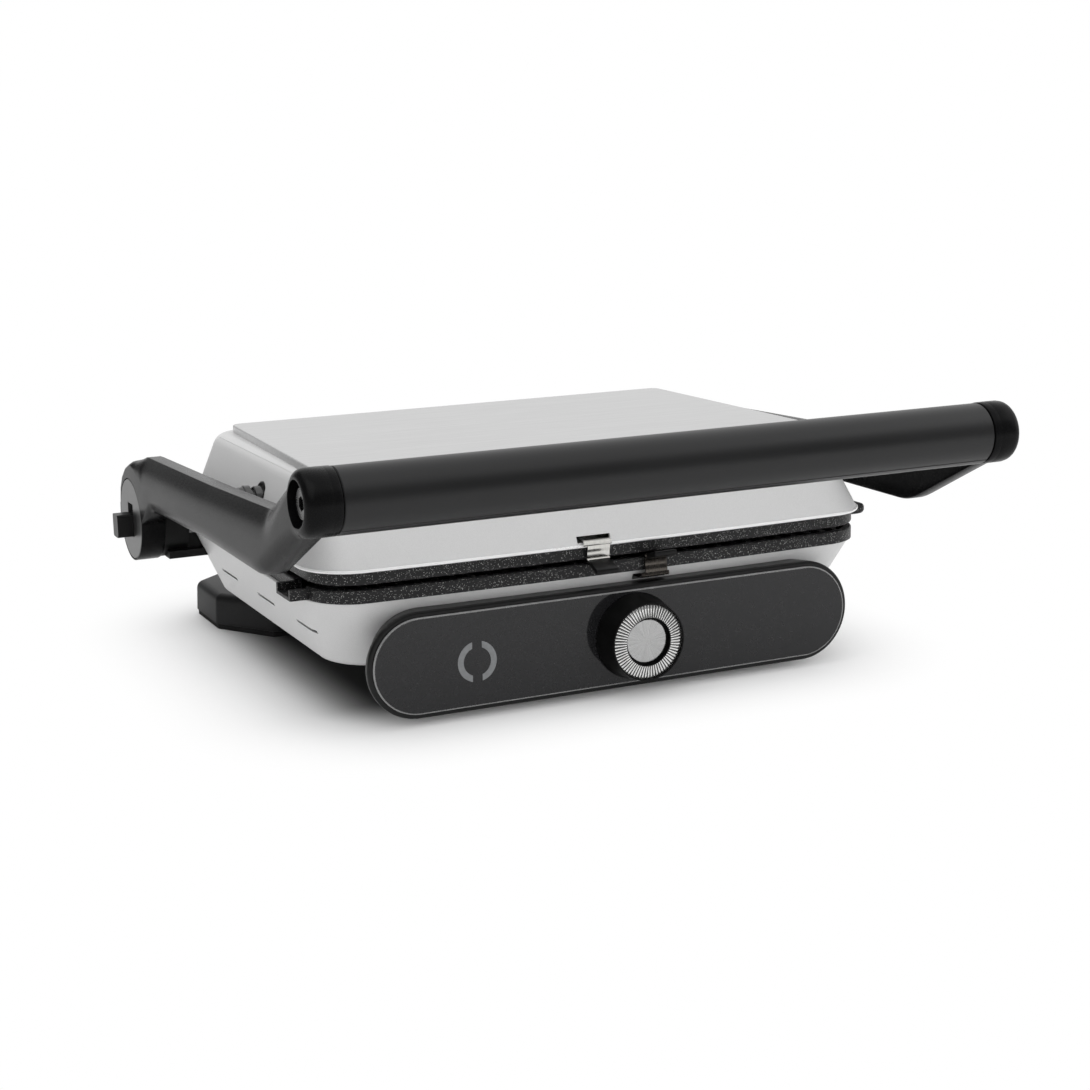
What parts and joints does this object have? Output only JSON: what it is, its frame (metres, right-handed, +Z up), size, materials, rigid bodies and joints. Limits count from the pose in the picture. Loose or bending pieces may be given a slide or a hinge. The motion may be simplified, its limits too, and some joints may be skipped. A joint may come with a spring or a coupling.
{
  "type": "countertop contact grill",
  "caption": "Countertop contact grill with a lid hung in a handle frame, rear corner hinges, speckled non-stick plates held by spring clips, black glass panel and rotary knob",
  "frame": {"origin": "centre of the bounding box in X and Y, on the surface that the feet stand on", "axes": "+X to the right seen from the front, +Y to the rear where the hinges are, +Z up"},
  "size_m": [0.3716, 0.3556, 0.1395],
  "materials": {
    "silver_shell": "satin silver coating on pressed sheet",
    "brushed_top": "brushed along the width",
    "dark_arm": "die casting with a satin dark grey coating",
    "hub_disc": "satin grey, brushed",
    "black_handle": "satin black moulding",
    "black_plastic": "fine grained black moulding",
    "black_cast": "die casting coated black",
    "foot_plastic": "dark grey grained moulding",
    "foot_rubber": "matt non-slip pad",
    "panel_glass": "black back-printed glass",
    "indicator_lens": "dim translucent light guide",
    "board": "laminated circuit board",
    "thermostat": "moulded switch body",
    "knob_black": "satin black moulding",
    "knob_chrome": "bright plated, radially knurled",
    "knob_face": "radially brushed disc",
    "grill_coating": "die casting with a speckled non-stick coating",
    "element": "oxidised tubular sheath",
    "reflector": "bright pressed sheet",
    "insulation": "needled mineral fibre",
    "fuse_metal": "plain metal can",
    "terminal": "heat resistant moulding",
    "gland_rubber": "soft black moulding",
    "steel_fixing": "plain machined steel",
    "clip_steel": "bright spring sheet",
    "clip_tab": "black moulded thumb tab"
  },
  "bodies": {
    "base": {"base_shell": "silver_shell", "base_bottom": "black_plastic", "rear_foot_left": "foot_plastic", "rear_foot_right": "foot_plastic", "front_foot_left": "foot_plastic", "front_foot_right": "foot_plastic", "rear_foot_pads": "foot_rubber", "front_foot_pads": "foot_rubber", "foot_screws": "steel_fixing", "control_housing": "black_plastic", "control_glass": "panel_glass", "indicator_ring": "indicator_lens", "indicator_board": "board", "thermostat_body": "thermostat", "panel_screws": "steel_fixing", "lower_plate": "grill_coating", "lower_rear_catches": "clip_steel", "lower_heating_element": "element", "lower_reflector": "reflector", "thermal_fuse": "fuse_metal", "terminal_block": "terminal", "cord_gland": "gland_rubber", "hinge_bracket_left": "black_cast", "hinge_bracket_right": "black_cast", "bracket_screws": "steel_fixing", "lower_clip_pin": "steel_fixing", "lower_clip_bracket": "clip_steel"},
    "handle_frame": {"hinge_axle_left": "steel_fixing", "hinge_axle_right": "steel_fixing", "arm_left": "dark_arm", "arm_right": "dark_arm", "hinge_cap_left": "hub_disc", "hinge_cap_right": "hub_disc", "handle_tube": "black_handle", "handle_rod": "steel_fixing", "handle_nuts": "steel_fixing", "pivot_screw_left": "steel_fixing", "pivot_screw_right": "steel_fixing"},
    "release_lever": {"release_lever": "black_handle"},
    "lid": {"lid_shell": "silver_shell", "lid_top_panel": "brushed_top", "lid_screws": "steel_fixing", "lid_pivot_left": "black_plastic", "lid_pivot_right": "black_plastic", "insulation_pad": "insulation", "upper_plate": "grill_coating", "upper_rear_catches": "clip_steel", "upper_heating_element": "element", "upper_reflector": "reflector", "upper_clip_pin": "steel_fixing", "upper_clip_bracket": "clip_steel"},
    "knob": {"knob_body": "knob_black", "knob_ring": "knob_chrome", "knob_cap": "knob_face", "thermostat_shaft": "steel_fixing"},
    "upper_clip": {"upper_clip": "clip_steel", "upper_clip_tab": "clip_tab"},
    "lower_clip": {"lower_clip": "clip_steel", "lower_clip_tab": "clip_tab"}
  },
  "joints": [
    {"name": "frame_hinge", "type": "hinge", "parent": "base", "child": "handle_frame", "pos_m": [0.00435, 0.1218, 0.067], "axis": [-1, 0, 0], "range_deg": [0, 178]},
    {"name": "lid_tilt", "type": "hinge", "parent": "handle_frame", "child": "lid", "pos_m": [0.00435, 0.0028, 0.096], "axis": [-1, 0, 0], "range_deg": [0, 6]},
    {"name": "knob_turn", "type": "hinge", "parent": "base", "child": "knob", "pos_m": [0.01205, -0.1052, 0.03], "axis": [0, 1, 0], "range_deg": [0, 270]},
    {"name": "lever_slide", "type": "slide", "parent": "handle_frame", "child": "release_lever", "axis": [0, 0, 1], "range_m": [0, 0.005], "stiffness_N_per_m": 300},
    {"name": "upper_clip_hinge", "type": "hinge", "parent": "lid", "child": "upper_clip", "pos_m": [-0.00715, -0.0917, 0.07902], "axis": [-1, 0, 0], "range_deg": [0, 9], "stiffness_Nm_per_rad": 0.2},
    {"name": "lower_clip_hinge", "type": "hinge", "parent": "base", "child": "lower_clip", "pos_m": [0.02435, -0.0917, 0.05763], "axis": [1, 0, 0], "range_deg": [0, 9], "stiffness_Nm_per_rad": 0.2}
  ],
  "couplings": [
    {"joint": "lid_tilt", "follows": "frame_hinge", "ratio": 0.0337}
  ]
}
